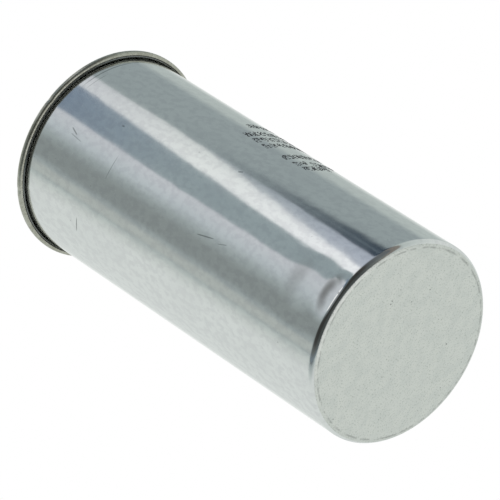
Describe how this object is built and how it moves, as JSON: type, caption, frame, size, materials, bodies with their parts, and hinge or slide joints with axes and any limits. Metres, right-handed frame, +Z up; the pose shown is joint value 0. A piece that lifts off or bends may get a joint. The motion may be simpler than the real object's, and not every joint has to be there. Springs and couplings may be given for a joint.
{
  "type": "motor run capacitor",
  "caption": "Round motor run capacitor in a drawn aluminium can with a rolled seam, quick connect blades on its lid and the wound film roll inside.",
  "frame": {"origin": "centre of the underside of the can's base", "axes": "+Z up the can's axis to the lid and terminals, the two terminals on the X axis, -Y the side with the dent"},
  "size_m": [0.0472, 0.0472, 0.1075],
  "materials": {
    "can_aluminium": "drawn, bright wall and satin base",
    "lid_tinplate": "tinplate, satin",
    "sealant": "matte",
    "terminal_brass": "tinned, bright",
    "rivet_steel": "plated",
    "phenolic_black": "moulded",
    "gasket_rubber": "matte",
    "insulator_plastic": "moulded",
    "core_plastic": "moulded",
    "film": "metallised film",
    "wrap": "clear film",
    "zinc_spray": "sprayed, rough",
    "lead_wire": "tinned copper",
    "sleeve_plastic": "extruded",
    "solder": "satin",
    "disc_phenolic": "laminate"
  },
  "bodies": {
    "root": {"can": "can_aluminium", "lid": "lid_tinplate", "seam_sealant": "sealant", "bottom_insulator": "insulator_plastic", "winding_core": "core_plastic", "film_winding": "film", "winding_wrap": "wrap", "lower_end_spray": "zinc_spray", "upper_end_spray": "zinc_spray", "lower_lead": "lead_wire", "upper_lead": "lead_wire", "lower_lead_sleeve": "sleeve_plastic", "lower_solder_joint": "solder", "upper_solder_joint": "solder", "top_spacer": "insulator_plastic", "interrupter_disc": "disc_phenolic", "inner_washer_1": "disc_phenolic", "terminal_gasket_1": "gasket_rubber", "terminal_cup_1": "phenolic_black", "terminal_1": "terminal_brass", "rivet_1": "rivet_steel", "inner_washer_2": "disc_phenolic", "terminal_gasket_2": "gasket_rubber", "terminal_cup_2": "phenolic_black", "terminal_2": "terminal_brass", "rivet_2": "rivet_steel"}
  },
  "joints": []
}
